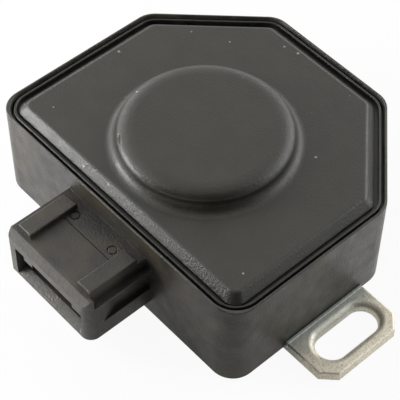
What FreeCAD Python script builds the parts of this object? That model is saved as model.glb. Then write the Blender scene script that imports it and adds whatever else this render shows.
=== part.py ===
import FreeCAD, Part
import math
import os

# Throttle position sensor: a potentiometer in a moulded six-sided housing.
# Millimetres. The origin is on the rotor axis at the mounting face, +Z is up
# through the cover, and the plug socket faces -Y.

V = FreeCAD.Vector
UP = V(0, 0, 1)
CENTRE = V(0, 0, 0)

# Outline of the housing, seen from above
body_width = 60.0
body_back = 29.85
back_cut_x = 16.5
back_cut_y = 17.25
corner_radius = 4.3
inner_corner = 5.2
least_corner = 0.4

# Walls of the housing
wall = 2.5
floor_thickness = 3.2
rim_wall = 0.6
rim_slope = 0.25
rim_slope_height = 0.6
rim_round = 0.2
base_round = 0.5
rear_step_height = 5.5
rear_step_depth = 0.35

# Fits and clearances
seat_gap = 0.02
run_gap = 0.05
lift_gap = 0.1
stop_gap = 0.3
pocket_gap = 0.1
cut_over = 1.0

# Rotor bearing, from the mounting face up
ring_drop = 0.9
ring_thickness = 0.8
ring_width = 1.9
ring_bite = 0.6
seal_height = 2.0
boss_rise = 5.4
boss_wall = 2.5
bush_wall = 1.5
washer_thickness = 0.3

# Rotor
rotor_lift = 0.4
shaft_radius = 4.0
shaft_flat = 2.9
shaft_fit = 0.06
journal_wall = 2.44
hub_shoulder = 0.5
socket_depth = 12.0
clip_thickness = 0.4
clip_width = 4.4
clip_length = 8.0
flange_margin = 0.4
flange_thickness = 2.0
lug_length = 2.9
lug_angle = 14.0
stop_wall = 2.5
travel = 95.0

# Wiper
carrier_thickness = 1.2
carrier_half_angle = 13.0
brush_rise = 1.7
brush_width = 1.2
brush_sheet = 0.25
brush_length = 4.8
brush_foot = 1.9
brush_tip = 1.0
rivet_radius = 0.45
rivet_head_radius = 0.6
rivet_head_height = 0.3
rivet_place = 0.85
contact_gap = 0.05

# Track card
card_thickness = 1.2
card_edge_gap = 1.3
card_hole_gap = 1.3
card_headroom = 0.8
track_thickness = 0.1
track_width = 1.8
track_space = 0.8
track_edge = 1.5
track_spare_angle = 10.0
post_radius = 2.6
post_edge_gap = 2.0
screw_radius = 1.2
screw_grip = 5.0
screw_head_radius = 2.2
screw_head_height = 1.3
screw_slot_width = 0.6
screw_slot_depth = 0.5

# Cover
cover_thickness = 1.5
rim_rise = 1.35
seal_gap = 0.25
seal_width = 0.5
seal_height_above = 1.2
groove_width = 0.7
cover_rise = 2.0
bevel_width = 1.4
bevel_rise = 1.4
bevel_corner = 2.1
bevel_round = 0.9
skirt_width = 0.8
skirt_depth = 1.0
dome_rise = 3.5
dome_base_round = 1.9
dome_shoulder = 3.0

# Return spring
spring_wire = 0.9
spring_turns = 3
spring_inner_gap = 1.0
spring_end_gap = 1.0
spring_leg_seat = 2.0
spring_leg_reach = 3.2
spring_leg_room = 1.85
anchor_wall = 1.2
anchor_grip = 1.2
anchor_root = 0.6
wire_gap = 0.15

# Plug socket
blade_count = 3
blade_pitch = 5.0
blade_width = 2.8
blade_thickness = 0.8
blade_setback = 4.6
blade_taper = 0.8
socket_side_room = 3.55
socket_height = 6.0
shroud_wall = 1.8
shroud_bottom = 4.05
shroud_floor = 1.15
shroud_roof = 1.2
shroud_length = 13.15
shroud_left_round = 0.5
shroud_right_round = 2.0
socket_back_wall = 1.0
lead_in_depth = 1.65
lead_in_height = 0.7
deck_rise = 2.1
rail_inset = 1.15
rail_width = 3.15
rail_height = 1.1
rail_round = 0.25
rail_setback = 0.7
rail_back_gap = 1.7
ridge_ramp_depth = 0.95
ridge_ramp_height = 1.75
ridge_top = 0.6
ejector_radius = 0.9
ejector_line = 0.2
ejector_places = (-5.2, 4.35)
ejector_from_wall = 2.9
parting_width = 0.2
mark_depth = 0.25
parting_from_wall = 4.45
key_width = 2.2
key_drop = 0.9
key_length = 4.0
key_places = (-5.1, 7.4)
clip_recess_depth = 0.9
clip_recess_front = 3.2
clip_recess_ramp = 3.2
clip_recess_floor = 3.5
clip_recess_roof = 0.5

# Terminals inside the housing
leg_gap = 1.2
leg_pin_width = 0.8
leg_pin_rise = 0.9
card_hole_room = 0.1
solder_radius = 1.0
solder_height = 0.6
potting_depth = 1.3
potting_gap = 0.8
potting_margin = 2.0

# Mounting plate
plate_thickness = 1.8
plate_width = 17.8
plate_shift = -0.4
plate_eye_wall = 3.6
ear_length = 10.45
ear_cut = 2.45
ear_edge_round = 0.4
least_land = 0.1
slot_centre_out = 5.3
slot_width = 5.5
slot_length = 12.7
slot_edge_round = 1.2
stake_radius = 1.9
stake_head_radius = 2.8
stake_head_height = 0.9
stake_from_side = 10.0
stake_offset = 5.0

# Heights worked out from the stack of pieces
boss_top = floor_thickness + boss_rise
flange_bottom = boss_top + washer_thickness + lift_gap
flange_top = flange_bottom + flange_thickness
carrier_top = flange_top + carrier_thickness
brush_top = carrier_top + brush_rise
track_bottom = brush_top + contact_gap
card_bottom = track_bottom + track_thickness
card_top = card_bottom + card_thickness
cover_seat = card_top + card_headroom
groove_floor = cover_seat + cover_thickness
body_height = groove_floor + rim_rise
cover_top = groove_floor + cover_rise
dome_waist = cover_top + dome_base_round
dome_top = cover_top + dome_rise
dome_roof = dome_top - cover_thickness

# Radii and insets worked out from the fits
journal_radius = shaft_radius + shaft_fit + journal_wall
hub_radius = journal_radius + hub_shoulder
bush_inner = journal_radius + run_gap
bush_outer = bush_inner + bush_wall
bore_radius = bush_outer + seat_gap
boss_radius = bore_radius + boss_wall
flange_edge = rim_wall + pocket_gap
seal_edge = flange_edge + seal_gap
bevel_foot = seal_edge + seal_width + groove_width
bevel_head = bevel_foot + bevel_width
card_inset = wall + card_edge_gap
card_hole = hub_radius + card_hole_gap
collector_inner = card_hole + track_edge
resistor_inner = collector_inner + track_width + track_space
flange_radius = resistor_inner + track_width + flange_margin
lug_radius = flange_radius + lug_length
rest_angle = 90.0 - travel / 2
rivet_y = rivet_place - brush_length / 2
spring_radius = hub_radius + spring_inner_gap + spring_wire / 2
spring_base = card_top + spring_end_gap + spring_wire / 2
spring_crown = dome_roof - spring_end_gap - spring_wire / 2
dome_inner = spring_radius + spring_leg_reach + spring_leg_room
dome_radius = dome_inner + cover_thickness

# Places along the socket
leg_place = -(flange_radius + leg_gap + blade_thickness / 2)
front_wall = leg_place - blade_thickness / 2 - potting_gap - potting_depth - wall
shroud_front = front_wall - shroud_length
shroud_top = shroud_bottom + shroud_floor + socket_height + shroud_roof
socket_floor = shroud_bottom + shroud_floor
socket_half = blade_pitch * (blade_count - 1) / 2 + socket_side_room
shroud_half = socket_half + shroud_wall
rail_outer = shroud_half - rail_inset
deck_top = shroud_top + deck_rise
blade_middle = socket_floor + socket_height / 2
blade_places = [blade_pitch * (i - (blade_count - 1) / 2) for i in range(blade_count)]


def outline_corners(inset):
    """Corners of the six-sided outline, anticlockwise, with every side moved in."""
    half = body_width / 2
    corners = [
        V(-half, front_wall, 0),
        V(half, front_wall, 0),
        V(half, body_back - back_cut_y, 0),
        V(half - back_cut_x, body_back, 0),
        V(back_cut_x - half, body_back, 0),
        V(-half, body_back - back_cut_y, 0),
    ]
    moved = []
    for i, corner in enumerate(corners):
        into = (corner - corners[i - 1]).normalize()
        out = (corners[(i + 1) % len(corners)] - corner).normalize()
        normals = V(-into.y, into.x, 0) + V(-out.y, out.x, 0)
        moved.append(corner + normals * (inset / (1 + into.dot(out))))
    return moved


def rounded_wire(corners, radii, z):
    """Closed flat wire through the corners, each rounded with an arc of its own radius."""
    arcs = []
    for i, (corner, radius) in enumerate(zip(corners, radii)):
        back = (corners[i - 1] - corner).normalize()
        ahead = (corners[(i + 1) % len(corners)] - corner).normalize()
        half_angle = back.getAngle(ahead) / 2
        reach = radius / math.tan(half_angle)
        inward = (back + ahead).normalize()
        middle = corner + inward * (radius / math.sin(half_angle) - radius)
        lift = V(0, 0, z)
        arcs.append((corner + back * reach + lift, middle + lift, corner + ahead * reach + lift))
    edges = []
    for i, (start, middle, end) in enumerate(arcs):
        edges.append(Part.makeLine(arcs[i - 1][2], start))
        edges.append(Part.Arc(start, middle, end).toShape())
    return Part.Wire(edges)


def outline_wire(inset, z, radius=None):
    """The housing outline moved in, with its corners rounded to suit unless a radius is given."""
    corners = outline_corners(inset)
    if radius is None:
        radius = max(inner_corner - inset, least_corner) if inset else corner_radius
    return rounded_wire(corners, [radius] * len(corners), z)


def extrude(wire, height):
    """Solid from a flat wire, raised along Z."""
    return Part.Face(wire).extrude(V(0, 0, height))


def outline_prism(inset, bottom, top):
    """Solid with the housing outline between two heights."""
    return extrude(outline_wire(inset, bottom), top - bottom)


def block(x0, x1, y0, y1, z0, z1):
    """Box between two corners."""
    return Part.makeBox(x1 - x0, y1 - y0, z1 - z0, V(x0, y0, z0))


def disc(radius, bottom, top, x=0.0, y=0.0):
    """Upright cylinder between two heights."""
    return Part.makeCylinder(radius, top - bottom, V(x, y, bottom))


def tube(outer, inner, bottom, top):
    """Upright ring about the rotor axis."""
    return disc(outer, bottom, top).cut(disc(inner, bottom, top))


def side_profile(points, x0, x1):
    """Solid from a closed outline of (y, z) points, drawn out along X."""
    corners = [V(x0, y, z) for y, z in points]
    face = Part.Face(Part.makePolygon(corners + corners[:1]))
    return face.extrude(V(x1 - x0, 0, 0))


def plan_profile(points, bottom, top):
    """Solid from a closed outline of (x, y) points, raised along Z."""
    corners = [V(x, y, bottom) for x, y in points]
    return extrude(Part.makePolygon(corners + corners[:1]), top - bottom)


def sector(inner, outer, start, end, bottom, top):
    """Part of a ring about the rotor axis, between two angles in degrees."""
    ring = Part.makeCylinder(outer, top - bottom, V(0, 0, bottom), UP, end - start)
    ring = ring.cut(disc(inner, bottom, top))
    ring.rotate(CENTRE, UP, start)
    return ring


def turned(shape, angle):
    """Copy of a shape turned about the rotor axis."""
    copy = shape.copy()
    copy.rotate(CENTRE, UP, angle)
    return copy


def mirrored_x(shape):
    """Copy of a shape on the other side of the YZ plane."""
    return shape.mirror(CENTRE, V(1, 0, 0))


def fused(shapes):
    """One solid from shapes that overlap or meet."""
    return shapes[0].multiFuse(shapes[1:]).removeSplitter()


def level_edges(shape, z):
    """Edges that lie flat at one height."""
    near = 1e-4
    return [e for e in shape.Edges if abs(e.BoundBox.ZMin - z) < near and abs(e.BoundBox.ZMax - z) < near]


def post_places():
    """Centres of the four posts under the card: two at the front, two at the cut corners."""
    inset = wall + post_radius + post_edge_gap
    corners = outline_corners(inset)
    rear = (corners[2] + corners[3]) * 0.5
    front = corners[1]
    return [(front.x, front.y), (-front.x, front.y), (rear.x, rear.y), (-rear.x, rear.y)]


def stake_places():
    """Centres of the four moulded stakes that hold the plate."""
    out = body_width / 2 - stake_from_side
    return [(x, y) for x in (-out, out) for y in (-stake_offset, stake_offset)]


def slot_shape():
    """Upright solid of one ear slot at the origin, its long way along Y."""
    radius = slot_width / 2
    half = slot_length / 2 - radius
    ends = [disc(radius, 0, plate_thickness, 0, y) for y in (-half, half)]
    return fused([block(-radius, radius, -half, half, 0, plate_thickness)] + ends)


def stake_shape(grow):
    """One countersunk stake through the plate, at the origin."""
    shank = disc(stake_radius + grow, 0, plate_thickness)
    head = Part.makeCone(stake_head_radius + grow, stake_radius + grow, stake_head_height)
    return fused([shank, head])


def plate_blank(grow):
    """The plate before its holes: a strap with cut corners and a round eye in the middle."""
    half = body_width / 2 + ear_length
    front = plate_shift - plate_width / 2
    rear = plate_shift + plate_width / 2
    strap = plan_profile([
        (half - ear_cut, front), (half, front + ear_cut), (half, rear - ear_cut), (half - ear_cut, rear),
        (ear_cut - half, rear), (-half, rear - ear_cut), (-half, front + ear_cut), (ear_cut - half, front),
    ], 0, plate_thickness)
    strap = strap.makeFillet(ear_edge_round, level_edges(strap, plate_thickness))
    eye = disc(boss_radius + plate_eye_wall + grow, 0, plate_thickness)
    return fused([strap, eye]).cut(disc(boss_radius + pocket_gap - grow, 0, plate_thickness))


# Housing

def rim_funnel():
    """Space over the rim's inner edge, which slopes in towards the cover."""
    foot = outline_wire(rim_wall, body_height - rim_slope_height)
    head = outline_wire(rim_wall - rim_slope, body_height)
    return Part.makeLoft([foot, head], True, True)


def housing_shell():
    """Open tray with a thin rim that stands round the cover."""
    tray = outline_prism(0, 0, body_height)
    tray = tray.makeFillet(base_round, level_edges(tray, 0))
    band = outline_prism(0, -cut_over, rear_step_height).cut(
        outline_prism(rear_step_depth, -cut_over, rear_step_height))
    rear_start = body_back - back_cut_y + corner_radius
    rear = block(-body_width, body_width, rear_start, body_back + cut_over, -cut_over, body_height)
    tray = tray.cut(band.common(rear))
    tray = tray.cut(outline_prism(wall, floor_thickness, body_height + cut_over))
    tray = tray.cut(outline_prism(rim_wall, cover_seat, body_height + cut_over)).cut(rim_funnel())
    return tray.makeFillet(rim_round, level_edges(tray, body_height))


def shroud_body():
    """Plug shroud with its latch ridge, before the socket is cut out."""
    ridge_front = shroud_front + ridge_ramp_depth
    ridge_back = ridge_front + ridge_top
    root = front_wall + wall / 2
    body = side_profile([
        (root, shroud_bottom),
        (shroud_front, shroud_bottom),
        (shroud_front, deck_top - ridge_ramp_height),
        (ridge_front, deck_top),
        (ridge_back, deck_top),
        (ridge_back, shroud_top),
        (root, shroud_top),
    ], -shroud_half, shroud_half)
    behind = root + 2 * shroud_right_round
    plan = rounded_wire([
        V(-shroud_half, shroud_front, 0),
        V(shroud_half, shroud_front, 0),
        V(shroud_half, behind, 0),
        V(-shroud_half, behind, 0),
    ], [shroud_left_round, shroud_right_round, shroud_right_round, shroud_right_round], 0)
    body = body.common(extrude(plan, deck_top))
    deck = block(-shroud_half, rail_outer, ridge_front, root, shroud_top, deck_top)
    rail = shroud_rail()
    return fused([body, deck, rail, mirrored_x(rail)]).cut(deck_marks())


def shroud_rail():
    """Raised rail along the right edge of the shroud's deck."""
    start = shroud_front + ridge_ramp_depth + rail_setback
    rail = block(rail_outer - rail_width, rail_outer, start, front_wall - rail_back_gap,
                 deck_top, deck_top + rail_height)
    return rail.makeFillet(rail_round, level_edges(rail, deck_top + rail_height))


def deck_marks():
    """Fine grooves left by the mould between the rails: round two ejector pins, and a joint line."""
    inner = rail_outer - rail_width
    line = front_wall - parting_from_wall
    low = deck_top - mark_depth
    joint = block(-inner, inner, line - parting_width, line, low, deck_top)
    rings = [tube(ejector_radius, ejector_radius - ejector_line, low, deck_top) for _ in ejector_places]
    for ring, x in zip(rings, ejector_places):
        ring.translate(V(x, front_wall - ejector_from_wall, 0))
    return Part.makeCompound([joint] + rings)


def socket_space():
    """The space inside the shroud, wider at its lower lip, less its two keys."""
    mouth = shroud_front - cut_over
    roof = socket_floor + socket_height
    space = side_profile([
        (mouth, socket_floor - lead_in_height),
        (shroud_front, socket_floor - lead_in_height),
        (shroud_front + lead_in_depth, socket_floor),
        (front_wall - socket_back_wall, socket_floor),
        (front_wall - socket_back_wall, roof),
        (mouth, roof),
    ], -socket_half, socket_half)
    for place in key_places:
        left = place - key_width / 2
        right = min(place + key_width / 2, socket_half)
        space = space.cut(block(left, right, shroud_front, shroud_front + key_length,
                                roof - key_drop, roof))
    return space


def clip_recess():
    """Hollow in the shroud's right side for the plug's wire clip, ramped at its front."""
    front = shroud_front + clip_recess_front
    full = front + clip_recess_ramp
    inner = shroud_half - clip_recess_depth
    return plan_profile([
        (shroud_half, front),
        (inner, full),
        (inner, front_wall),
        (shroud_half + cut_over, front_wall),
        (shroud_half + cut_over, front),
    ], shroud_bottom + clip_recess_floor, shroud_top - clip_recess_roof)


def stop_block(angle, turn):
    """Travel stop beside the lug's path, turned away from the lug."""
    inner = flange_radius + lug_length / 2
    start = angle if turn > 0 else angle - lug_angle
    outer = lug_radius + stop_wall
    return sector(inner, outer, start, start + lug_angle, floor_thickness - seat_gap, flange_top)


def make_housing():
    """Moulded housing with its bearing boss, posts, travel stops and plug shroud."""
    gap_angle = math.degrees(stop_gap / lug_radius)
    swing = lug_angle / 2 + gap_angle
    low_stop = stop_block(rest_angle - swing, -1)
    high_stop = stop_block(rest_angle + travel + swing, 1)
    base = floor_thickness - seat_gap
    posts = [disc(post_radius, base, card_bottom, x, y) for x, y in post_places()]
    body = fused([housing_shell(), disc(boss_radius, 0, boss_top), low_stop, high_stop,
                  shroud_body()] + posts)
    body = body.cut(disc(bore_radius, -cut_over, boss_top + cut_over))
    body = body.cut(plate_blank(pocket_gap))
    for x, y in stake_places():
        stake = stake_shape(0)
        stake.translate(V(x, y, 0))
        body = body.fuse(stake)
    body = body.cut(socket_space())
    for recess in (clip_recess(), mirrored_x(clip_recess())):
        body = body.cut(recess)
    for x in blade_places:
        body = body.cut(block(x - blade_width / 2, x + blade_width / 2,
                              front_wall - socket_back_wall, front_wall + wall,
                              blade_middle - blade_thickness / 2, blade_middle + blade_thickness / 2))
    for x, y in post_places():
        body = body.cut(disc(screw_radius + seat_gap, card_bottom - screw_grip, card_bottom, x, y))
    return body.removeSplitter()


# Mounting plate

def make_mounting_plate():
    """Pressed steel strap with a slotted ear at each end, set into the housing's underside."""
    plate = plate_blank(0)
    for x, y in stake_places():
        hole = stake_shape(pocket_gap)
        hole.translate(V(x, y, 0))
        plate = plate.cut(hole)
    for x in slot_places():
        slot = slot_shape()
        slot.translate(V(x, 0, 0))
        plate = plate.cut(slot)
    rim_edges = [e for e in level_edges(plate, plate_thickness)
                 if any(slot_near(e, x) for x in slot_places())]
    ear_wall = (plate_width - slot_length) / 2 - abs(plate_shift)
    return plate.makeFillet(min(slot_edge_round, ear_wall - ear_edge_round - least_land), rim_edges)


def slot_places():
    """X of the two ear slots."""
    out = body_width / 2 + slot_centre_out
    return (-out, out)


def slot_near(edge, x):
    """True for an edge that lies within the slot centred at x."""
    box = edge.BoundBox
    inside = abs(box.Center.x - x) <= slot_width / 2 + pocket_gap
    return inside and max(abs(box.YMin), abs(box.YMax)) <= slot_length / 2 + pocket_gap


# Bearing

def make_bearing_bush():
    """Sintered bush in the boss."""
    return tube(bush_outer, bush_inner, ring_drop + ring_thickness + lift_gap + seal_height, boss_top)


def make_shaft_seal():
    """Rubber ring under the bush that wipes the rotor's journal."""
    bottom = ring_drop + ring_thickness + lift_gap
    return tube(bush_outer, bush_inner, bottom, bottom + seal_height)


def make_thrust_washer():
    """Thin washer between the boss and the rotor's flange."""
    return tube(boss_radius, bush_inner, boss_top, boss_top + washer_thickness)


def make_retaining_ring():
    """Open snap ring in the groove at the foot of the journal."""
    ring = tube(journal_radius - ring_bite + ring_width, journal_radius - ring_bite,
                ring_drop, ring_drop + ring_thickness)
    opening = block(-ring_width, ring_width, -2 * journal_radius, 0, ring_drop, ring_drop + ring_thickness)
    return ring.cut(opening)


# Rotor

def d_prism(radius, flat, bottom, top):
    """Round bar with one flat, on the +X side."""
    return disc(radius, bottom, top).common(
        block(-2 * radius, flat, -2 * radius, 2 * radius, bottom, top))


def clip_pocket(grow):
    """Strip beside the socket's flat, where the drive clip lies."""
    left = shaft_flat + shaft_fit
    half = clip_width / 2 + grow
    top = rotor_lift + clip_length + grow
    return block(left, left + clip_thickness + grow, -half, half, rotor_lift, top)


def make_rotor():
    """Moulded rotor: journal, flange with its stop lug, and hub with the shaft socket below."""
    journal = disc(journal_radius, rotor_lift, flange_bottom)
    groove = tube(2 * journal_radius, journal_radius - ring_bite - seat_gap,
                  ring_drop - run_gap, ring_drop + ring_thickness + run_gap)
    journal = journal.cut(groove)
    flange = disc(flange_radius, flange_bottom, flange_top)
    lug = sector(flange_radius - lug_length, lug_radius, rest_angle - lug_angle / 2,
                 rest_angle + lug_angle / 2, flange_bottom, flange_top)
    hub_top = dome_roof - spring_end_gap
    hub = disc(hub_radius, flange_bottom, hub_top)
    hub = hub.makeChamfer(spring_wire / 2, level_edges(hub, hub_top))
    body = fused([journal, flange, lug, hub])
    body = body.cut(d_prism(shaft_radius + shaft_fit, shaft_flat + shaft_fit,
                            rotor_lift - cut_over, rotor_lift + socket_depth))
    body = body.cut(clip_pocket(wire_gap))
    leg_hole = Part.makeCylinder(spring_wire / 2 + wire_gap, spring_leg_seat + wire_gap,
                                 V(0, -hub_radius, spring_base), V(0, 1, 0))
    body = body.cut(leg_hole)
    for stake in carrier_stakes(seat_gap):
        body = body.cut(stake)
    return body


def make_drive_clip():
    """Spring strip that presses on the throttle shaft's flat."""
    return clip_pocket(0)


# Wiper

def brush_radii():
    """Middle radii of the collector and resistor tracks."""
    return (collector_inner + track_width / 2, resistor_inner + track_width / 2)


def carrier_stakes(grow):
    """Two pegs under the wiper carrier that sit in the rotor's flange."""
    middle = (hub_radius + flange_radius) / 2
    pegs = []
    for offset in (-carrier_half_angle / 2, carrier_half_angle / 2):
        peg = disc(brush_width / 2 + grow, flange_top - flange_thickness / 2 - grow, flange_top, middle, 0)
        pegs.append(turned(peg, rest_angle + offset))
    return pegs


def make_wiper_carrier():
    """Moulded shoe on the rotor's flange that carries the brushes."""
    shoe = sector(hub_radius + seat_gap, flange_radius, rest_angle - carrier_half_angle,
                  rest_angle + carrier_half_angle, flange_top, carrier_top)
    shoe = fused([shoe] + carrier_stakes(0))
    for radius in brush_radii():
        hole = disc(rivet_radius + seat_gap, flange_top, carrier_top, radius, rivet_y)
        shoe = shoe.cut(turned(hole, rest_angle))
    return shoe


def make_brush(radius):
    """Sprung strip: a foot riveted to the carrier, a slope, and a tip under the track."""
    start = -brush_length / 2
    end = brush_length / 2
    low = carrier_top
    high = brush_top
    sheet = brush_sheet
    strip = side_profile([
        (start, low), (start + brush_foot, low), (end - brush_tip, high - sheet), (end, high - sheet),
        (end, high), (end - brush_tip - sheet, high), (start + brush_foot - sheet, low + sheet),
        (start, low + sheet),
    ], radius - brush_width / 2, radius + brush_width / 2)
    hole = disc(rivet_radius + seat_gap, low, low + sheet, radius, rivet_y)
    return turned(strip.cut(hole), rest_angle)


def make_brush_rivets():
    """The two rivets that hold the brushes, one solid each."""
    rivets = []
    seat = carrier_top + brush_sheet
    for radius in brush_radii():
        shank = disc(rivet_radius, flange_top, seat, radius, rivet_y)
        head = disc(rivet_head_radius, seat, seat + rivet_head_height, radius, rivet_y)
        rivets.append(turned(fused([shank, head]), rest_angle))
    return Part.makeCompound(rivets)


# Track card

def make_track_card():
    """Insulating card with the resistor tracks on its underside."""
    card = outline_prism(card_inset, card_bottom, card_top)
    card = card.cut(disc(card_hole, card_bottom, card_top))
    for x, y in post_places():
        card = card.cut(disc(screw_radius + pocket_gap, card_bottom, card_top, x, y))
    for x in blade_places:
        half = leg_pin_width / 2 + card_hole_room
        card = card.cut(block(x - half, x + half, leg_place - half, leg_place + half, card_bottom, card_top))
    return card


def make_track(inner):
    """One printed arc, a little longer than the brush's travel at each end."""
    return sector(inner, inner + track_width, rest_angle - track_spare_angle - lug_angle,
                  rest_angle + travel + track_spare_angle + lug_angle, track_bottom, card_bottom)


def make_card_screws():
    """Four slotted screws that hold the card on its posts."""
    screws = []
    head_top = card_top + screw_head_height
    for x, y in post_places():
        shank = disc(screw_radius, card_bottom - screw_grip, card_top, x, y)
        head = disc(screw_head_radius, card_top, head_top, x, y)
        slot = block(x - screw_head_radius, x + screw_head_radius, y - screw_slot_width / 2,
                     y + screw_slot_width / 2, head_top - screw_slot_depth, head_top)
        screws.append(fused([shank, head]).cut(slot))
    return Part.makeCompound(screws)


# Terminals

def make_terminal(x):
    """Blade in the socket, run through the wall, with a leg up through the card."""
    tip = shroud_front + blade_setback
    low = blade_middle - blade_thickness / 2
    high = blade_middle + blade_thickness / 2
    leg_half = blade_thickness / 2
    half = blade_width / 2
    run = plan_profile([
        (x - half + blade_taper, tip), (x + half - blade_taper, tip), (x + half, tip + blade_taper),
        (x + half, leg_place + leg_half), (x - half, leg_place + leg_half), (x - half, tip + blade_taper),
    ], low, high)
    leg = block(x - half, x + half, leg_place - leg_half, leg_place + leg_half, low, card_bottom)
    pin_half = leg_pin_width / 2
    pin = block(x - pin_half, x + pin_half, leg_place - pin_half, leg_place + pin_half,
                card_bottom, card_top + leg_pin_rise)
    return fused([run, leg, pin])


def make_solder_joints():
    """Cone of solder round each terminal's pin, on top of the card."""
    joints = []
    half = leg_pin_width / 2
    for x in blade_places:
        cone = Part.makeCone(solder_radius, leg_pin_width, solder_height, V(x, leg_place, card_top))
        joints.append(cone.cut(block(x - half, x + half, leg_place - half, leg_place + half,
                                     card_top, card_top + solder_height)))
    return Part.makeCompound(joints)


def make_terminal_potting():
    """Block of sealing resin against the wall, round the three terminals."""
    half = blade_places[-1] + blade_width / 2 + potting_margin
    back = front_wall + wall
    resin = block(-half, half, back, back + potting_depth,
                  blade_middle - potting_margin, blade_middle + potting_margin)
    for x in blade_places:
        resin = resin.cut(block(x - blade_width / 2, x + blade_width / 2, back, back + potting_depth,
                                blade_middle - blade_thickness / 2, blade_middle + blade_thickness / 2))
    return resin


# Cover

def spring_anchor():
    """Two ribs inside the dome that hold the spring's upper leg."""
    inner = spring_radius + spring_leg_reach - anchor_grip
    bottom = spring_crown - spring_wire
    half = spring_wire / 2 + wire_gap
    outer = dome_inner + anchor_root
    ribs = [block(x, x + anchor_wall, -outer, -inner, bottom, dome_roof + anchor_root)
            for x in (-half - anchor_wall, half)]
    return [rib.common(disc(outer, bottom, dome_top)) for rib in ribs]


def cover_panel():
    """Raised middle of the cover: upright foot, sloping sides and a rounded top edge."""
    bevel_start = cover_top - bevel_rise
    low = outline_wire(bevel_foot, bevel_start, bevel_corner)
    high = outline_wire(bevel_head, cover_top, bevel_corner - bevel_width / 2)
    foot = extrude(outline_wire(bevel_foot, groove_floor, bevel_corner), bevel_start - groove_floor)
    panel = fused([foot, Part.makeLoft([low, high], True, True)])
    return panel.makeFillet(bevel_round, level_edges(panel, cover_top))


def dome_cap():
    """Cap turned about the rotor axis, hollowed round its foot, with an oval shoulder."""
    foot = dome_radius + dome_base_round
    flat = dome_radius - dome_shoulder
    sunk = cover_top - cover_thickness
    slant = dome_base_round * math.sqrt(0.5)
    axis_side = [V(0, 0, dome_top), V(0, 0, sunk), V(foot, 0, sunk), V(foot, 0, cover_top)]
    waist = V(dome_radius, 0, dome_waist)
    crown = V(flat, 0, dome_top)
    base = Part.Arc(axis_side[-1], V(foot - slant, 0, dome_waist - slant), waist)
    oval = Part.Ellipse(waist, crown, V(flat, 0, dome_waist))
    edges = Part.makePolygon(axis_side).Edges
    edges += [base.toShape(), oval.toShape(0, math.pi / 2), Part.makeLine(crown, axis_side[0])]
    return Part.Face(Part.Wire(edges)).revolve(CENTRE, UP, 360)


def make_cover():
    """Moulded cover: seated flange, bevelled panel and domed cap."""
    flange = outline_prism(flange_edge, cover_seat, groove_floor)
    skirt_edge = wall + pocket_gap
    skirt = outline_prism(skirt_edge, cover_seat - skirt_depth, cover_seat)
    body = fused([flange, cover_panel(), skirt, dome_cap()])
    hollow = outline_prism(skirt_edge + skirt_width, cover_seat - skirt_depth - cut_over,
                           cover_top - cover_thickness)
    body = body.cut(hollow).cut(disc(dome_inner, cover_seat, dome_roof))
    return fused([body] + spring_anchor())


def make_cover_seal():
    """Bead of sealant in the groove between the rim and the cover, rounded on top."""
    crown = groove_floor + seal_height_above
    bead = outline_prism(seal_edge, groove_floor, crown).cut(
        outline_prism(seal_edge + seal_width, groove_floor, crown))
    return bead.makeFillet(seal_width / 2 - seat_gap, level_edges(bead, crown))


# Return spring

def make_return_spring():
    """Torsion spring round the hub, one leg in the hub and one in the cover."""
    radius = spring_radius
    height = spring_crown - spring_base
    helix = Part.makeHelix(height / spring_turns, height, radius)
    start = V(radius, 0, 0)
    heading = V(0, 1, height / spring_turns / (2 * math.pi * radius))
    section = Part.Wire(Part.makeCircle(spring_wire / 2, start, heading))
    coil = Part.Wire(helix).makePipeShell([section], True, True)
    inner_leg = Part.makeCylinder(spring_wire / 2, radius - hub_radius + spring_leg_seat, start, V(-1, 0, 0))
    end = start + V(0, 0, height)
    outer_leg = Part.makeCylinder(spring_wire / 2, spring_leg_reach, end, V(1, 0, 0))
    knees = [Part.makeSphere(spring_wire / 2, place) for place in (start, end)]
    spring = coil.multiFuse([inner_leg, outer_leg] + knees)
    spring.translate(V(0, 0, spring_base))
    return turned(spring, -90.0)


def make_parts():
    """Every piece of the sensor, by node name."""
    parts = {
        "housing": make_housing(),
        "mounting_plate": make_mounting_plate(),
        "bearing_bush": make_bearing_bush(),
        "shaft_seal": make_shaft_seal(),
        "thrust_washer": make_thrust_washer(),
        "retaining_ring": make_retaining_ring(),
        "rotor": make_rotor(),
        "drive_clip": make_drive_clip(),
        "wiper_carrier": make_wiper_carrier(),
        "brush_rivets": make_brush_rivets(),
        "track_card": make_track_card(),
        "collector_track": make_track(collector_inner),
        "resistor_track": make_track(resistor_inner),
        "card_screws": make_card_screws(),
        "solder_joints": make_solder_joints(),
        "terminal_potting": make_terminal_potting(),
        "cover": make_cover(),
        "cover_seal": make_cover_seal(),
        "return_spring": make_return_spring(),
    }
    for name, radius in zip(("collector_brush", "resistor_brush"), brush_radii()):
        parts[name] = make_brush(radius)
    for name, x in zip(("terminal_left", "terminal_centre", "terminal_right"), blade_places):
        parts[name] = make_terminal(x)
    return parts


os.makedirs("parts", exist_ok=True)
for name, shape in make_parts().items():
    shape.exportStep("parts/" + name + ".step")
    print(name, len(shape.Solids), shape.isValid(), round(shape.Volume, 1))
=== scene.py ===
import math

import bpy
from mathutils import Matrix, Vector


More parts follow.
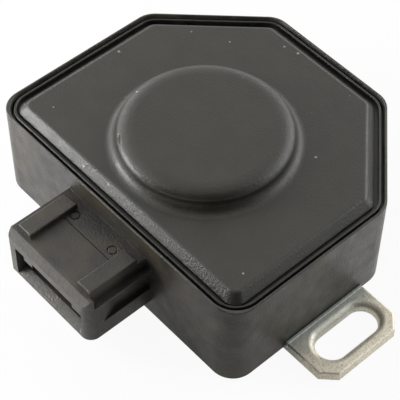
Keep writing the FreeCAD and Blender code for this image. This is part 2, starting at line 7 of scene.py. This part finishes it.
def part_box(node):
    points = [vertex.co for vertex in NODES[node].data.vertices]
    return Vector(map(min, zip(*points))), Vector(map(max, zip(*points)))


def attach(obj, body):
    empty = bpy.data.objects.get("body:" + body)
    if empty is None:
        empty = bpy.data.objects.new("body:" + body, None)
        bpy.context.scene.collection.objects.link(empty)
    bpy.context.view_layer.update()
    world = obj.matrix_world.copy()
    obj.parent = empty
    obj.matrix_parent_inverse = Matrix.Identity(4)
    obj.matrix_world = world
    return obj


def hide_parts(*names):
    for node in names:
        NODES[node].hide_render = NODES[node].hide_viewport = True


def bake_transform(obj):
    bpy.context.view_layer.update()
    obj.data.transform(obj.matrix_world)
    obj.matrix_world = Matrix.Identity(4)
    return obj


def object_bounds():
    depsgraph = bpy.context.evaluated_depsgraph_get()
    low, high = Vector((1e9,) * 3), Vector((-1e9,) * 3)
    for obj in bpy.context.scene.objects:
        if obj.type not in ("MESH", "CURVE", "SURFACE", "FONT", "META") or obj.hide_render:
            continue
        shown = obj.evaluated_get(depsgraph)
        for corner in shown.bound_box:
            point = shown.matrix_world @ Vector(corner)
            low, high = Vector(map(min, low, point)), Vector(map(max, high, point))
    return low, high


# Throttle position sensor: finishes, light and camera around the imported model.
# Lengths are in metres, and MM turns millimetres into them.

MM = 0.001

# Camera, fitted to the photograph
CAMERA_PLACE = Vector((119.42, -110.10, 206.62)) * MM
CAMERA_AZIMUTH = math.radians(47.61)
CAMERA_ELEVATION = math.radians(51.37)
CAMERA_ROLL = math.radians(0.70)
CAMERA_LENS = 133.4
CLIP_NEAR = 10 * MM
CLIP_FAR = 10.0

# Floor: what reflections see of it is a glow with painted shade near the spot, brighter further off
FLOOR_HALF = 1.5
FLOOR_DROP = 0.05 * MM
SHADOW_SHARE = 0.07
FLOOR_GLOW = 0.5
FLOOR_SHADE_SPOT = (0.036, -0.044, 0.0)
FLOOR_NEAR = 15 * MM
FLOOR_FAR = 62 * MM
FLOOR_DARK = 0.25
FLOOR_BRIGHT = 1.9

# Surroundings: they fade along the direction of the room's dark side
AMBIENT = 0.2
DARK_SIDE = (0.74, -0.67, 0.0)
DARK_START = -0.3
DARK_END = 0.5
DARK_LEVEL = 0.05

# Drifts and grains that the finishes share, with depths in millimetres
DRIFT_DETAIL = 3.0
GRAIN_DETAIL = 2.0
COLOUR_ENDS = (0.35, 0.65)
ROUGH_ENDS = (0.3, 0.7)
METAL = 1.0
FINE_GRAIN = 0.006
OPEN_PORES = 0.02

# Moulded nylon, with pattern sizes in millimetres
NYLON_IOR = 1.53
EDGE_ROUND = 0.1 * MM
EDGE_SAMPLES = 8
# Painted highlight across the shroud's mouth, paler in patches
MOUTH_LIGHT_START = -32.6 * MM
MOUTH_LIGHT_END = -33.9 * MM
MOUTH_LIGHT_SHARE = 0.9
MOUTH_LIGHT_PATCH = 0.6
DUST_SPACE = 4.6
DUST_SIZE = 0.25
NICK_PLACE = Vector((-7.9, -12.25, 22.26)) * MM
NICK_TURN = math.radians(-39)
NICK_SIZE = Vector((1.1, 0.4, 0.5)) * MM
NICK_FLAT = 0.2
NICK_DEPTH = 0.25 * MM

# Plated ears, with the crystals' size in millimetres
ZINC_METALLIC = 0.6
# Painted blue-grey shade on the ears towards the housing's wall
WALL_SHADE_START = 30.5 * MM
WALL_SHADE_END = 35.0 * MM
WALL_SHADE_SHARE = 0.8
# Painted contact shadow along the housing's foot, out to here
FOOT_END = 30.2 * MM
# Painted highlight line beside the housing's foot
BRIGHT_LINE_PLACE = 30.65 * MM
BRIGHT_LINE_HALF = 0.12 * MM
EAR_MIDDLE = 0.9 * MM
CRYSTAL_SIZE = 0.28
CRYSTAL_START = 0.5
CRYSTAL_END = 0.68
CRYSTAL_SHARE = 0.5

# Pieces copied from a node's mesh
MERGE = 0.001 * MM
SMOOTH_ANGLE = math.radians(40)
BEAD_LUMP = 2.6 * MM
BEAD_SAG = 0.28 * MM
BEAD_KEEP = 0.35 * MM

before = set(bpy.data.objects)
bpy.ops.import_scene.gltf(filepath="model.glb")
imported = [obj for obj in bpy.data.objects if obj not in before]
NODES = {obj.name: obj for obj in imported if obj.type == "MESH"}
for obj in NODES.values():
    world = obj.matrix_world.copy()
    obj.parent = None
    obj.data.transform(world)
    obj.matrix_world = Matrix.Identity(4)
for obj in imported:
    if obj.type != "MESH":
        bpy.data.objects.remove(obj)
CAD_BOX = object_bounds()


def linear(colour):
    """sRGB hex colour as linear RGBA."""
    parts = [int(colour[i:i + 2], 16) / 255 for i in (1, 3, 5)]
    return [c / 12.92 if c <= 0.04045 else ((c + 0.055) / 1.055) ** 2.4 for c in parts] + [1.0]


def add(tree, kind, inputs=None, **settings):
    """Add a node: settings are its properties, and each input is a value or a socket to link."""
    node = tree.nodes.new(kind)
    for key, value in settings.items():
        setattr(node, key, value)
    for key, value in (inputs or {}).items():
        if isinstance(value, bpy.types.NodeSocket):
            tree.links.new(value, node.inputs[key])
        else:
            node.inputs[key].default_value = value
    return node


def per(size):
    """Texture scale whose pattern is about that many millimetres across."""
    return 1 / (size * MM)


def start(name):
    """New material with its shader and the object's own coordinates."""
    material = bpy.data.materials.new(name)
    material.use_nodes = True
    tree = material.node_tree
    tree.nodes.clear()
    shader = add(tree, "ShaderNodeBsdfPrincipled")
    add(tree, "ShaderNodeOutputMaterial", {"Surface": shader.outputs["BSDF"]})
    place = add(tree, "ShaderNodeTexCoord").outputs["Object"]
    return material, tree, shader, place


def finish_surface(tree, shader, place, colours, drift, rough, rough_drift, grains, normal=None):
    """Link a drift of roughness and layers of raised grain, and give back a drift of two hex colours.

    Drifts are sizes in millimetres, and each grain is its size and depth in millimetres.
    """
    pattern = add(tree, "ShaderNodeTexNoise",
                  {"Vector": place, "Scale": per(drift), "Detail": DRIFT_DETAIL})
    ramp = add(tree, "ShaderNodeValToRGB", {"Fac": pattern.outputs["Fac"]})
    for end, position, colour in zip(ramp.color_ramp.elements, COLOUR_ENDS, colours):
        end.position = position
        end.color = linear(colour)
    sheen = add(tree, "ShaderNodeTexNoise",
                {"Vector": place, "Scale": per(rough_drift), "Detail": DRIFT_DETAIL})
    spread = add(tree, "ShaderNodeMapRange",
                 {"Value": sheen.outputs["Fac"], "From Min": ROUGH_ENDS[0], "From Max": ROUGH_ENDS[1],
                  "To Min": rough[0], "To Max": rough[1]})
    tree.links.new(spread.outputs["Result"], shader.inputs["Roughness"])
    for size, depth in grains:
        grain = add(tree, "ShaderNodeTexNoise",
                    {"Vector": place, "Scale": per(size), "Detail": GRAIN_DETAIL})
        bump = add(tree, "ShaderNodeBump", {"Height": grain.outputs["Fac"], "Distance": depth * MM})
        if normal:
            tree.links.new(normal, bump.inputs["Normal"])
        normal = bump.outputs["Normal"]
    tree.links.new(normal, shader.inputs["Normal"])
    return ramp.outputs["Color"]


def dress(piece, material):
    """Put one finish on a piece."""
    piece.data.materials.clear()
    piece.data.materials.append(material)


# Finishes that show

def moulded_nylon():
    """Glass-filled nylon straight from the mould: charcoal, satin, with a faint brown mottle."""
    material, tree, shader, place = start("glass_filled_nylon")
    shader.inputs["IOR"].default_value = NYLON_IOR
    # The mould's corners are never sharp, so every edge carries a thin line of light
    edge = add(tree, "ShaderNodeBevel", {"Radius": EDGE_ROUND}, samples=EDGE_SAMPLES)
    # The glass fibres are finer than a pixel here, so their grain is drawn about three times its size
    base = finish_surface(tree, shader, place, ("#22211e", "#3a352b"), drift=5.0, rough=(0.36, 0.5),
                          rough_drift=2.2, grains=[(4.0, 0.05), (0.4, 0.08)],
                          normal=edge.outputs["Normal"])
    # Painted highlight: the mouth of the shroud is painted paler, in patches, for the light it catches
    along = add(tree, "ShaderNodeSeparateXYZ", {"Vector": place})
    mouth = add(tree, "ShaderNodeMapRange",
                {"Value": along.outputs["Y"], "From Min": MOUTH_LIGHT_START, "From Max": MOUTH_LIGHT_END,
                 "To Min": 0.0, "To Max": MOUTH_LIGHT_SHARE})
    patches = add(tree, "ShaderNodeTexNoise",
                  {"Vector": place, "Scale": per(MOUTH_LIGHT_PATCH), "Detail": GRAIN_DETAIL})
    mouth_light = add(tree, "ShaderNodeMath",
              {0: mouth.outputs["Result"], 1: patches.outputs["Fac"]}, operation="MULTIPLY")
    lit_mouth = add(tree, "ShaderNodeMix",
                 {"Factor": mouth_light.outputs["Value"], "A": base, "B": linear("#605d59")},
                 data_type="RGBA")
    tree.links.new(lit_mouth.outputs["Result"], shader.inputs["Base Color"])
    return material


def moulded_cover():
    """The same nylon from a finer mould: an even charcoal, a soft sheen and a few specks of dust."""
    material, tree, shader, place = start("satin_nylon")
    shader.inputs["IOR"].default_value = NYLON_IOR
    # One nick from handling, a short dent in the dome's shoulder
    nick = add(tree, "ShaderNodeMapping",
               {"Vector": place, "Location": NICK_PLACE, "Rotation": (0, 0, NICK_TURN),
                "Scale": NICK_SIZE}, vector_type="TEXTURE")
    away = add(tree, "ShaderNodeVectorMath", {0: nick.outputs["Vector"]}, operation="LENGTH")
    rise = add(tree, "ShaderNodeMapRange",
               {"Value": away.outputs["Value"], "From Min": NICK_FLAT, "From Max": 1.0})
    dent = add(tree, "ShaderNodeBump", {"Height": rise.outputs["Result"], "Distance": NICK_DEPTH})
    # This grain too is finer than a pixel on the real cover, and is drawn coarser to show
    base = finish_surface(tree, shader, place, ("#23221b", "#2a2820"), drift=5.0, rough=(0.38, 0.46),
                          rough_drift=1.5, grains=[(0.4, 0.055)], normal=dent.outputs["Normal"])
    # Real dust is finer than a pixel here, so each speck is drawn about twice its size
    spots = add(tree, "ShaderNodeTexVoronoi", {"Vector": place, "Scale": per(DUST_SPACE)})
    near = add(tree, "ShaderNodeMath",
               {0: spots.outputs["Distance"], 1: DUST_SIZE / DUST_SPACE}, operation="LESS_THAN")
    dusty = add(tree, "ShaderNodeMix",
                {"Factor": near.outputs["Value"], "A": base, "B": linear("#8f8d86")},
                data_type="RGBA")
    tree.links.new(dusty.outputs["Result"], shader.inputs["Base Color"])
    return material


def cured_sealant():
    """Silicone bead squeezed into the joint: dark brown-grey, a little shiny."""
    material, tree, shader, place = start("silicone_sealant")
    base = finish_surface(tree, shader, place, ("#191817", "#272623"), drift=1.5, rough=(0.26, 0.42),
                          rough_drift=0.8, grains=[(0.6, 0.02)])
    tree.links.new(base, shader.inputs["Base Color"])
    return material


def yellow_zinc():
    """Zinc plate with a yellow passivation: grainy beige metal, with painted blue-grey shade where it
    leaves the housing.
    """
    material, tree, shader, place = start("yellow_zinc_plate")
    shader.inputs["Metallic"].default_value = ZINC_METALLIC
    base = finish_surface(tree, shader, place, ("#ddd6c2", "#ebe3d1"), drift=3.0, rough=(0.4, 0.56),
                          rough_drift=1.2, grains=[(0.4, 0.04)])
    along = add(tree, "ShaderNodeSeparateXYZ", {"Vector": place})
    out = add(tree, "ShaderNodeMath", {0: along.outputs["X"]}, operation="ABSOLUTE")
    # Painted shade: blue-grey towards the housing's wall
    near = add(tree, "ShaderNodeMapRange",
               {"Value": out.outputs["Value"], "From Min": WALL_SHADE_START, "From Max": WALL_SHADE_END,
                "To Min": WALL_SHADE_SHARE, "To Max": 0.0})
    wall_shaded = add(tree, "ShaderNodeMix",
                  {"Factor": near.outputs["Result"], "A": base, "B": linear("#98a3a2")},
                  data_type="RGBA")
    # On top, a painted contact shadow along the housing's foot and a painted highlight line beside it
    on_top = add(tree, "ShaderNodeMath",
                 {0: along.outputs["Z"], 1: EAR_MIDDLE}, operation="GREATER_THAN")
    foot = add(tree, "ShaderNodeMath", {0: out.outputs["Value"], 1: FOOT_END}, operation="LESS_THAN")
    # Painted contact shadow: dark along the housing's foot
    contact_shadow = add(tree, "ShaderNodeMath",
                {0: foot.outputs["Value"], 1: on_top.outputs["Value"]}, operation="MULTIPLY")
    foot_shadowed = add(tree, "ShaderNodeMix",
                 {"Factor": contact_shadow.outputs["Value"], "A": wall_shaded.outputs["Result"],
                  "B": linear("#3c3d3b")}, data_type="RGBA")
    # Painted highlight: a thin bright line beside the foot
    line = add(tree, "ShaderNodeMath",
               {0: out.outputs["Value"], 1: BRIGHT_LINE_PLACE, 2: BRIGHT_LINE_HALF}, operation="COMPARE")
    bright_line = add(tree, "ShaderNodeMath",
                 {0: line.outputs["Value"], 1: on_top.outputs["Value"]}, operation="MULTIPLY")
    bright_lined = add(tree, "ShaderNodeMix",
                  {"Factor": bright_line.outputs["Value"], "A": foot_shadowed.outputs["Result"],
                   "B": linear("#e8eeeb")}, data_type="RGBA")
    # The crystals of the plating are finer than a pixel here, so the grain is drawn about twice its size
    crystals = add(tree, "ShaderNodeTexNoise",
                   {"Vector": place, "Scale": per(CRYSTAL_SIZE), "Detail": GRAIN_DETAIL})
    dark = add(tree, "ShaderNodeMapRange",
               {"Value": crystals.outputs["Fac"], "From Min": CRYSTAL_START, "From Max": CRYSTAL_END,
                "To Min": 0.0, "To Max": CRYSTAL_SHARE})
    grained = add(tree, "ShaderNodeMix",
                  {"Factor": dark.outputs["Result"], "A": bright_lined.outputs["Result"],
                   "B": linear("#7d7a6e")}, data_type="RGBA")
    tree.links.new(grained.outputs["Result"], shader.inputs["Base Color"])
    return material


# Finishes of the inner pieces

def plain_finish(name, colours, size, rough, metallic=0.0, depth=FINE_GRAIN):
    """Drift of colour of that size in millimetres, a finer one of roughness, and a grain finer still."""
    material, tree, shader, place = start(name)
    shader.inputs["Metallic"].default_value = metallic
    base = finish_surface(tree, shader, place, colours, drift=size, rough=rough,
                          rough_drift=size / 2, grains=[(size / 5, depth)])
    tree.links.new(base, shader.inputs["Base Color"])
    return material


def dress_nodes():
    """Give every carried-over node its finish."""
    # Undyed moulded nylon: cream and waxy
    natural_nylon = plain_finish("natural_nylon", ("#c9c2ab", "#d6d0bc"), 4.0, (0.4, 0.5))
    # Drawn and tempered steel: mid grey with a tight shine
    spring_steel = plain_finish("spring_steel", ("#8f8f8d", "#a3a19c"), 1.5, (0.25, 0.38), METAL)
    # Tin plate on brass strip: pale, smooth and bright
    tinned_brass = plain_finish("tinned_brass", ("#bdbab2", "#cfccc4"), 1.5, (0.25, 0.35), METAL)
    # Rolled bronze strip: warm gold-brown and bright
    bronze_strip = plain_finish("phosphor_bronze", ("#b98f58", "#c9a26a"), 1.2, (0.25, 0.35), METAL)
    # Pressed bronze powder: brown and dull, with open pores
    sintered = plain_finish("sintered_bronze", ("#8a6a3c", "#a07f4c"), 0.8, (0.4, 0.55), METAL, OPEN_PORES)
    # Moulded rubber: near black and matte
    rubber = plain_finish("nitrile_rubber", ("#171717", "#1f1f1f"), 1.0, (0.5, 0.65))
    # Turned acetal: off-white and smooth
    acetal = plain_finish("acetal_washer", ("#d8d4c8", "#e2dfd4"), 3.0, (0.35, 0.45))
    # Resin-bonded paper: brown and dull
    card = plain_finish("phenolic_card", ("#7a5a34", "#8c693f"), 2.0, (0.45, 0.6))
    # Printed silver: pale grey with a soft shine
    silver_ink = plain_finish("silver_ink", ("#b8b7b2", "#c8c7c2"), 0.6, (0.4, 0.55), METAL)
    # Printed carbon: black and matte
    carbon_ink = plain_finish("carbon_ink", ("#1c1c1d", "#262627"), 0.6, (0.5, 0.65))
    # Clear-passivated zinc: cool grey and bright
    screw_zinc = plain_finish("zinc_plated_screw", ("#a5a7a8", "#b9bbbb"), 1.0, (0.25, 0.4), METAL)
    # Solder set from a melt: silvery and shiny
    solder = plain_finish("tin_solder", ("#b9bab9", "#cacbca"), 0.8, (0.2, 0.35), METAL)
    # Cast resin: blue-black and glossy
    resin = plain_finish("epoxy_resin", ("#1b1d20", "#23262a"), 2.0, (0.12, 0.25))
    finishes = {
        "housing": moulded_nylon(),
        "cover": moulded_cover(),
        "mounting_plate": yellow_zinc(),
        "bearing_bush": sintered,
        "shaft_seal": rubber,
        "thrust_washer": acetal,
        "retaining_ring": spring_steel,
        "rotor": natural_nylon,
        "drive_clip": spring_steel,
        "wiper_carrier": natural_nylon,
        "brush_rivets": tinned_brass,
        "collector_brush": bronze_strip,
        "resistor_brush": bronze_strip,
        "track_card": card,
        "collector_track": silver_ink,
        "resistor_track": carbon_ink,
        "card_screws": screw_zinc,
        "solder_joints": solder,
        "terminal_potting": resin,
        "terminal_left": tinned_brass,
        "terminal_centre": tinned_brass,
        "terminal_right": tinned_brass,
        "return_spring": spring_steel,
    }
    for name, material in finishes.items():
        dress(NODES[name], material)


# Pieces modelled here

def copy_of(node, name):
    """New piece from a node's mesh and finish, its loose triangles merged, left selected and active."""
    bpy.ops.object.select_all(action="DESELECT")
    piece = bpy.data.objects.new(name, NODES[node].data.copy())
    bpy.context.scene.collection.objects.link(piece)
    piece.select_set(True)
    bpy.context.view_layer.objects.active = piece
    bpy.ops.object.mode_set(mode="EDIT")
    bpy.ops.mesh.select_all(action="SELECT")
    bpy.ops.mesh.customdata_custom_splitnormals_clear()
    bpy.ops.mesh.remove_doubles(threshold=MERGE)
    bpy.ops.object.mode_set(mode="OBJECT")
    return piece


def make_bead():
    """Hand-laid bead of sealant: the seal's form, sagging and lumpy along its top."""
    bead = copy_of("cover_seal", "sealant_bead")
    bpy.ops.object.mode_set(mode="EDIT")
    bpy.ops.mesh.tris_convert_to_quads()
    bpy.ops.object.mode_set(mode="OBJECT")
    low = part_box("cover_seal")[0].z
    crown = bead.vertex_groups.new(name="crown")
    crown.add([v.index for v in bead.data.vertices if v.co.z > low + BEAD_KEEP], 1.0, "REPLACE")
    cut = bead.modifiers.new("finer", "SUBSURF")
    cut.subdivision_type = "SIMPLE"
    cut.levels = cut.render_levels = 1
    lumps = bpy.data.textures.new("bead_lumps", "CLOUDS")
    lumps.noise_scale = BEAD_LUMP
    sag = bead.modifiers.new("sag", "DISPLACE")
    sag.texture = lumps
    sag.texture_coords = "LOCAL"
    sag.direction = "Z"
    # At this level the lumps only go down, so the bead stays in its groove
    sag.mid_level = 1.0
    sag.strength = BEAD_SAG
    sag.vertex_group = "crown"
    for modifier in ("finer", "sag"):
        bpy.ops.object.modifier_apply(modifier=modifier)
    bpy.ops.object.shade_smooth_by_angle(angle=SMOOTH_ANGLE)
    dress(bead, cured_sealant())
    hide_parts("cover_seal")
    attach(bead, "case")


def make_spring():
    """Return spring, copied from its node and shaded smooth."""
    spring = copy_of("return_spring", "wound_spring")
    bpy.ops.object.shade_smooth_by_angle(angle=SMOOTH_ANGLE)
    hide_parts("return_spring")
    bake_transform(spring)


# Studio

def make_floor():
    """Pale floor of matte paper, white to the camera with a faint shadow left on it.

    Reflections see a mix of the lit paper and a glow, with painted shade close in front of the part.
    """
    bpy.ops.object.select_all(action="DESELECT")
    bpy.ops.mesh.primitive_plane_add(size=2 * FLOOR_HALF, location=(0, 0, CAD_BOX[0].z - FLOOR_DROP))
    floor = bpy.context.object
    floor.name = "floor"
    material = bpy.data.materials.new("pale_paper")
    material.use_nodes = True
    tree = material.node_tree
    tree.nodes.clear()
    paper = add(tree, "ShaderNodeBsdfDiffuse", {"Color": linear("#f2f2f0")})
    rays = add(tree, "ShaderNodeLightPath")
    place = add(tree, "ShaderNodeTexCoord").outputs["Object"]
    # Painted shade: the glow that reflections see is dimmed round a spot in front of the part
    away = add(tree, "ShaderNodeVectorMath", {0: place, 1: FLOOR_SHADE_SPOT}, operation="DISTANCE")
    fade = add(tree, "ShaderNodeMapRange",
               {"Value": away.outputs["Value"], "From Min": FLOOR_NEAR, "From Max": FLOOR_FAR,
                "To Min": FLOOR_DARK, "To Max": FLOOR_BRIGHT})
    level = add(tree, "ShaderNodeMix",
                {"Factor": rays.outputs["Is Camera Ray"], "A": fade.outputs["Result"], "B": 1.0},
                data_type="FLOAT")
    white = add(tree, "ShaderNodeEmission",
                {"Color": linear("#ffffff"), "Strength": level.outputs["Result"]})
    mirrored = add(tree, "ShaderNodeMath",
                   {0: rays.outputs["Is Glossy Ray"], 1: rays.outputs["Is Transmission Ray"]},
                   operation="MAXIMUM")
    glow = add(tree, "ShaderNodeMath", {0: mirrored.outputs["Value"], 1: FLOOR_GLOW},
               operation="MULTIPLY")
    seen = add(tree, "ShaderNodeMath",
               {0: rays.outputs["Is Camera Ray"], 1: 1 - SHADOW_SHARE, 2: glow.outputs["Value"]},
               operation="MULTIPLY_ADD")
    lit = add(tree, "ShaderNodeMixShader",
              {0: seen.outputs["Value"], 1: paper.outputs["BSDF"], 2: white.outputs["Emission"]})
    # From below, the floor is clear, so that the underside can be looked at
    clear = add(tree, "ShaderNodeBsdfTransparent")
    side = add(tree, "ShaderNodeNewGeometry")
    shown = add(tree, "ShaderNodeMixShader",
                {0: side.outputs["Backfacing"], 1: lit.outputs["Shader"], 2: clear.outputs["BSDF"]})
    add(tree, "ShaderNodeOutputMaterial", {"Surface": shown.outputs["Shader"]})
    dress(floor, material)


def make_world():
    """White surroundings to the camera and in reflections, dimmer on the room's dark side."""
    world = bpy.data.worlds.new("studio")
    bpy.context.scene.world = world
    world.use_nodes = True
    tree = world.node_tree
    tree.nodes.clear()
    rays = add(tree, "ShaderNodeLightPath")
    mirrored = add(tree, "ShaderNodeMath",
                   {0: rays.outputs["Is Glossy Ray"], 1: rays.outputs["Is Transmission Ray"]},
                   operation="MAXIMUM")
    heading = add(tree, "ShaderNodeTexCoord")
    towards = add(tree, "ShaderNodeVectorMath", {0: heading.outputs["Generated"], 1: DARK_SIDE},
                  operation="DOT_PRODUCT")
    room = add(tree, "ShaderNodeMapRange",
               {"Value": towards.outputs["Value"], "From Min": DARK_START, "From Max": DARK_END,
                "To Min": 1.0, "To Max": DARK_LEVEL})
    inside = add(tree, "ShaderNodeMix",
                 {"Factor": mirrored.outputs["Value"], "A": AMBIENT, "B": room.outputs["Result"]},
                 data_type="FLOAT")
    level = add(tree, "ShaderNodeMix",
                {"Factor": rays.outputs["Is Camera Ray"], "A": inside.outputs["Result"], "B": 1.0},
                data_type="FLOAT")
    glow = add(tree, "ShaderNodeBackground",
               {"Color": linear("#ffffff"), "Strength": level.outputs["Result"]})
    add(tree, "ShaderNodeOutputWorld", {"Surface": glow.outputs["Background"]})


def softbox(name, place, size, power):
    """Rectangular soft lamp aimed at the part: place and size in millimetres, power in watts."""
    lamp = bpy.data.lights.new(name, "AREA")
    lamp.shape = "RECTANGLE"
    lamp.size = size[0] * MM
    lamp.size_y = size[1] * MM
    lamp.energy = power
    holder = bpy.data.objects.new(name, lamp)
    bpy.context.scene.collection.objects.link(holder)
    holder.location = Vector(place) * MM
    holder.rotation_euler = (-holder.location).to_track_quat("-Z", "Y").to_euler()


def make_lights():
    """A small softbox close at the camera's left, a large one at its right, and soft fills round them."""
    softbox("left_softbox", (-120, -122, 70), (74, 64), 0.27)
    softbox("window_strip", (-297, -515, 94), (212, 105), 0.2)
    softbox("left_fill", (-562, -49, 215), (693, 322), 1.75)
    softbox("left_top", (-243, -243, 501), (437, 266), 0.5)
    softbox("right_softbox", (198, 491, 280), (497, 440), 2.0)
    softbox("right_fill", (504, 235, 200), (322, 255), 0.25)
    softbox("back_fill", (-198, 545, 165), (437, 212), 0.44)


def make_camera():
    """Camera at the photograph's place, turned by its small roll."""
    across = math.cos(CAMERA_ELEVATION)
    back = Vector((math.sin(CAMERA_AZIMUTH) * across, -math.cos(CAMERA_AZIMUTH) * across,
                   math.sin(CAMERA_ELEVATION)))
    right = Vector((math.cos(CAMERA_AZIMUTH), math.sin(CAMERA_AZIMUTH), 0))
    up = back.cross(right)
    turn = Matrix((right, up, back)).transposed().to_4x4()
    roll = Matrix.Rotation(CAMERA_ROLL, 4, "Z")
    lens = bpy.data.cameras.new("camera")
    lens.lens = CAMERA_LENS
    lens.clip_start = CLIP_NEAR
    lens.clip_end = CLIP_FAR
    camera = bpy.data.objects.new("camera", lens)
    bpy.context.scene.collection.objects.link(camera)
    camera.matrix_world = Matrix.Translation(CAMERA_PLACE) @ turn @ roll
    bpy.context.scene.camera = camera


dress_nodes()
make_bead()
make_spring()
make_floor()
make_world()
make_lights()
make_camera()
bpy.context.scene.view_settings.view_transform = "Standard"
